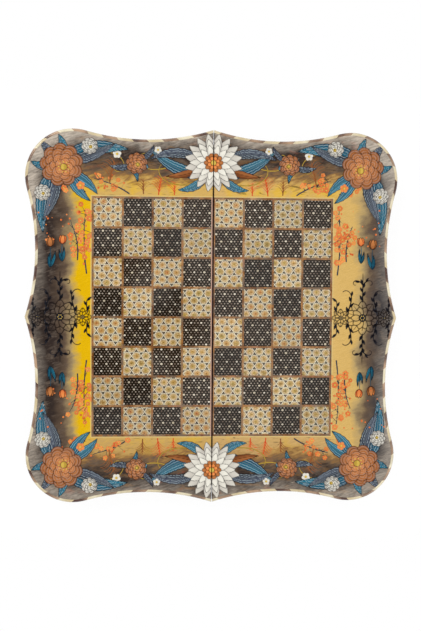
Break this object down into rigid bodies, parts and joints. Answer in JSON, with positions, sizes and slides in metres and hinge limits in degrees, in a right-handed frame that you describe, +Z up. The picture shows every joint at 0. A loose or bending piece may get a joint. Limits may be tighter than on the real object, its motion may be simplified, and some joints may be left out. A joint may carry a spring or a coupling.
{
  "type": "folding chess and backgammon board",
  "caption": "Folding inlaid box of two hinged scalloped trays, with a chessboard outside and a backgammon board inside.",
  "frame": {"origin": "under the middle of the open board, on the surface that the hinge barrels touch", "axes": "+Z up out of the chessboard, +Y along the seam to the north end, +X across the seam to the right half"},
  "size_m": [0.5, 0.4996, 0.038],
  "materials": {
    "walnut_wood": "lacquered walnut",
    "ply_panel": "plain plywood",
    "painted_border": "painted ground under gloss lacquer",
    "light_inlay": "marquetry under gloss lacquer",
    "dark_inlay": "marquetry under gloss lacquer",
    "strip_wood": "gloss lacquer",
    "light_banding": "gloss lacquer",
    "dark_banding": "gloss lacquer",
    "floor_veneer": "satin lacquer",
    "light_points": "satin lacquer",
    "dark_points": "satin lacquer",
    "brass": "polished"
  },
  "bodies": {
    "left_half": {"left_hinge_rail": "walnut_wood", "left_outer_rail": "walnut_wood", "left_north_rail": "walnut_wood", "left_south_rail": "walnut_wood", "left_base_panel": "ply_panel", "left_painted_border": "painted_border", "left_light_squares": "light_inlay", "left_dark_squares": "dark_inlay", "left_row_strips": "strip_wood", "left_column_strips": "strip_wood", "left_light_banding": "light_banding", "left_dark_banding": "dark_banding", "left_playing_floor": "floor_veneer", "left_light_points": "light_points", "left_dark_points": "dark_points", "left_hinge_screws": "brass", "north_hinge_left_leaf": "brass", "north_hinge_pin": "brass", "north_hook_plate": "brass", "north_hook_pivot": "brass", "south_hinge_left_leaf": "brass", "south_hinge_pin": "brass", "south_hook_plate": "brass", "south_hook_pivot": "brass"},
    "right_half": {"right_hinge_rail": "walnut_wood", "right_outer_rail": "walnut_wood", "right_north_rail": "walnut_wood", "right_south_rail": "walnut_wood", "right_base_panel": "ply_panel", "right_painted_border": "painted_border", "right_light_squares": "light_inlay", "right_dark_squares": "dark_inlay", "right_row_strips": "strip_wood", "right_column_strips": "strip_wood", "right_light_banding": "light_banding", "right_dark_banding": "dark_banding", "right_playing_floor": "floor_veneer", "right_light_points": "light_points", "right_dark_points": "dark_points", "right_hinge_screws": "brass", "north_hinge_right_leaf": "brass", "north_stud_plate": "brass", "north_stud": "brass", "south_hinge_right_leaf": "brass", "south_stud_plate": "brass", "south_stud": "brass"},
    "north_hook": {"north_hook": "brass"},
    "south_hook": {"south_hook": "brass"}
  },
  "joints": [
    {"name": "fold", "type": "hinge", "parent": "left_half", "child": "right_half", "pos_m": [0, 0, 0.002], "axis": [0, 1, 0], "range_deg": [0, 180]},
    {"name": "north_hook_swing", "type": "hinge", "parent": "left_half", "child": "north_hook", "pos_m": [-0.2371, 0.09, 0.01], "axis": [1, 0, 0], "range_deg": [0, 90]},
    {"name": "south_hook_swing", "type": "hinge", "parent": "left_half", "child": "south_hook", "pos_m": [-0.2371, -0.09, 0.01], "axis": [-1, 0, 0], "range_deg": [0, 90]}
  ]
}
